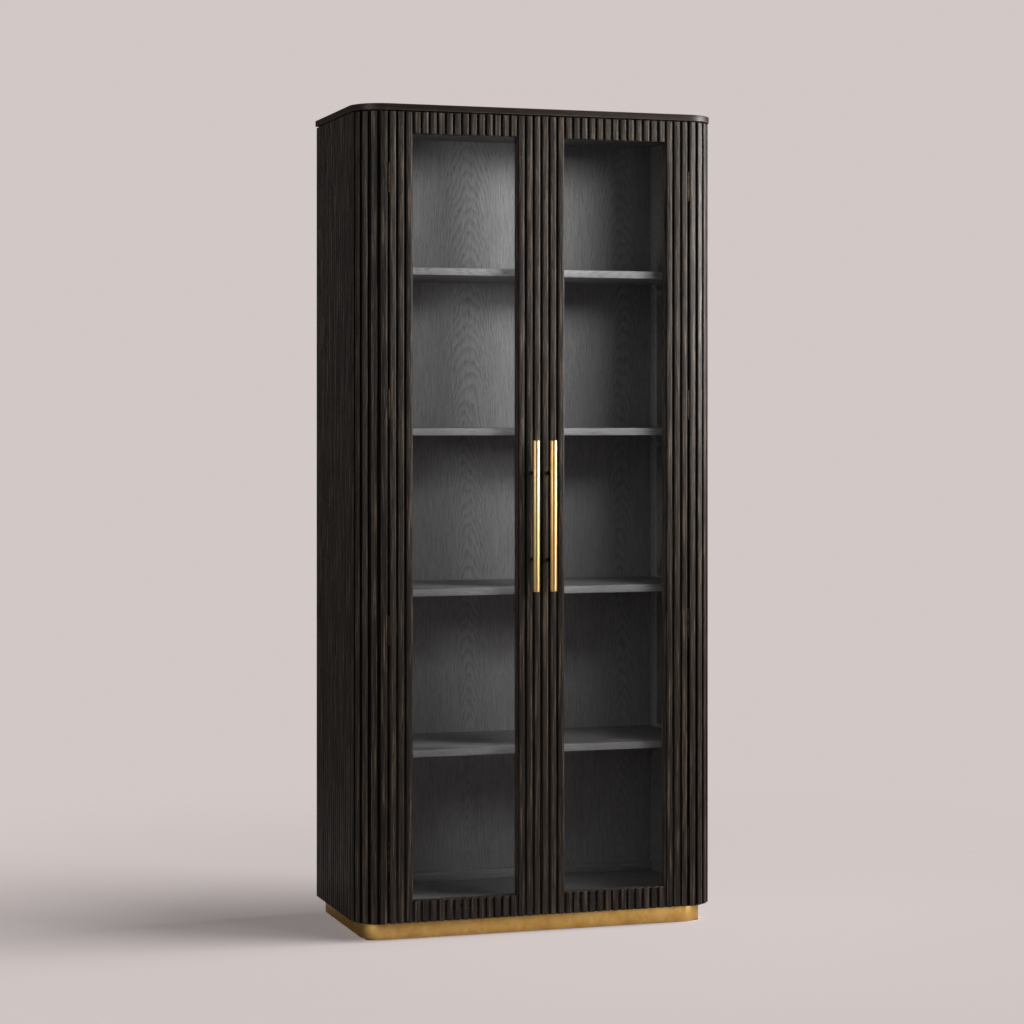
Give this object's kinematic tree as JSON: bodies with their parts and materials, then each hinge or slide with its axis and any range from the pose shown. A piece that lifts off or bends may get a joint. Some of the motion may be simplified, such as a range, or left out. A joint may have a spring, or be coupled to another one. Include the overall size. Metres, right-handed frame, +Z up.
{
  "type": "apothecary cabinet",
  "caption": "Tall free-standing display cabinet with hinged glazed doors, reeded rounded body, adjustable shelves and a recessed brass plinth.",
  "frame": {"origin": "on the floor, under the middle of the space the cabinet takes up, with its pulls", "axes": "+Z up, -Y out of the front, +X to the right as seen from the front"},
  "size_m": [0.986, 0.484, 2.134],
  "materials": {
    "oak_dark": "wire-brushed oak, stained near black, matt lacquer",
    "oak_inside": "dark grey stained oak veneer, matt lacquer",
    "softwood": "planed, unfinished",
    "brass": "brushed, satin lacquer",
    "bronze": "dark bronze, satin",
    "steel": "zinc plated",
    "glass": "clear, polished",
    "glide_plastic": "moulded",
    "bumper_rubber": "soft, matt"
  },
  "bodies": {
    "case": {"top_slab": "oak_dark", "sub_top": "oak_inside", "deck": "oak_inside", "left_side_panel": "oak_inside", "right_side_panel": "oak_inside", "left_corner_post": "oak_dark", "right_corner_post": "oak_dark", "left_case_reeds": "oak_dark", "right_case_reeds": "oak_dark", "back_panel": "oak_inside", "hanging_rail": "softwood", "lower_back_rail": "softwood", "foot_strip": "oak_inside", "back_screws": "steel", "shelf_1": "oak_inside", "shelf_2": "oak_inside", "shelf_3": "oak_inside", "shelf_4": "oak_inside", "shelf_pins": "steel", "plinth_front_rail": "softwood", "plinth_corner_blocks": "softwood", "plinth_side_rails": "softwood", "plinth_back_rail": "softwood", "plinth_bearers": "softwood", "brass_front": "brass", "brass_sides": "brass", "floor_glides": "glide_plastic", "case_hinge_leaves": "bronze", "hinge_pins": "steel", "case_hinge_screws": "bronze", "magnetic_catches": "glide_plastic", "door_bumpers": "bumper_rubber"},
    "left_door": {"left_outer_stile": "oak_dark", "left_meeting_stile": "oak_dark", "left_top_rail": "oak_dark", "left_bottom_rail": "oak_dark", "left_door_reeds": "oak_dark", "left_glass": "glass", "left_glazing_beads": "oak_dark", "left_hinge_leaves": "bronze", "left_hinge_screws": "bronze", "left_pull_bar": "brass", "left_pull_posts": "bronze", "left_pull_screws": "steel", "left_strike_plates": "steel"},
    "right_door": {"right_outer_stile": "oak_dark", "right_meeting_stile": "oak_dark", "right_top_rail": "oak_dark", "right_bottom_rail": "oak_dark", "right_door_reeds": "oak_dark", "right_glass": "glass", "right_glazing_beads": "oak_dark", "right_hinge_leaves": "bronze", "right_hinge_screws": "bronze", "right_pull_bar": "brass", "right_pull_posts": "bronze", "right_pull_screws": "steel", "right_strike_plates": "steel"}
  },
  "joints": [
    {"name": "left_door_hinge", "type": "hinge", "parent": "case", "child": "left_door", "pos_m": [-0.409, -0.203, 1.08025], "axis": [0, 0, -1], "range_deg": [0, 110]},
    {"name": "right_door_hinge", "type": "hinge", "parent": "case", "child": "right_door", "pos_m": [0.409, -0.203, 1.08025], "axis": [0, 0, 1], "range_deg": [0, 110]}
  ]
}
